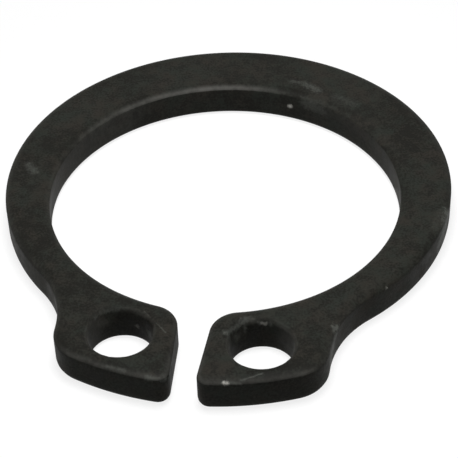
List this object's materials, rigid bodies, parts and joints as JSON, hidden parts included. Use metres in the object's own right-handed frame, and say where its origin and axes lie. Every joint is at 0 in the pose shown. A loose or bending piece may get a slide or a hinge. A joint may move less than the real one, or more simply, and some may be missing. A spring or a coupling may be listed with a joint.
{
  "type": "external circlip",
  "caption": "Open spring ring, widest opposite its gap, that snaps into a shaft's groove and holds a part on it, with a lug and plier hole at each end.",
  "frame": {"origin": "on the bore axis, at mid-thickness", "axes": "+Z along the bore axis, out of the rounder face, -Y from the bore to the gap and the lugs, +X to the right when the rounder face is looked at with the lugs towards the viewer"},
  "size_m": [0.0118, 0.0136, 0.001],
  "materials": {
    "phosphated_spring_steel": "spring steel with a matt black phosphate coat and a film of oil, a little burnished on its edges"
  },
  "bodies": {
    "root": {"circlip": "phosphated_spring_steel"}
  },
  "joints": []
}
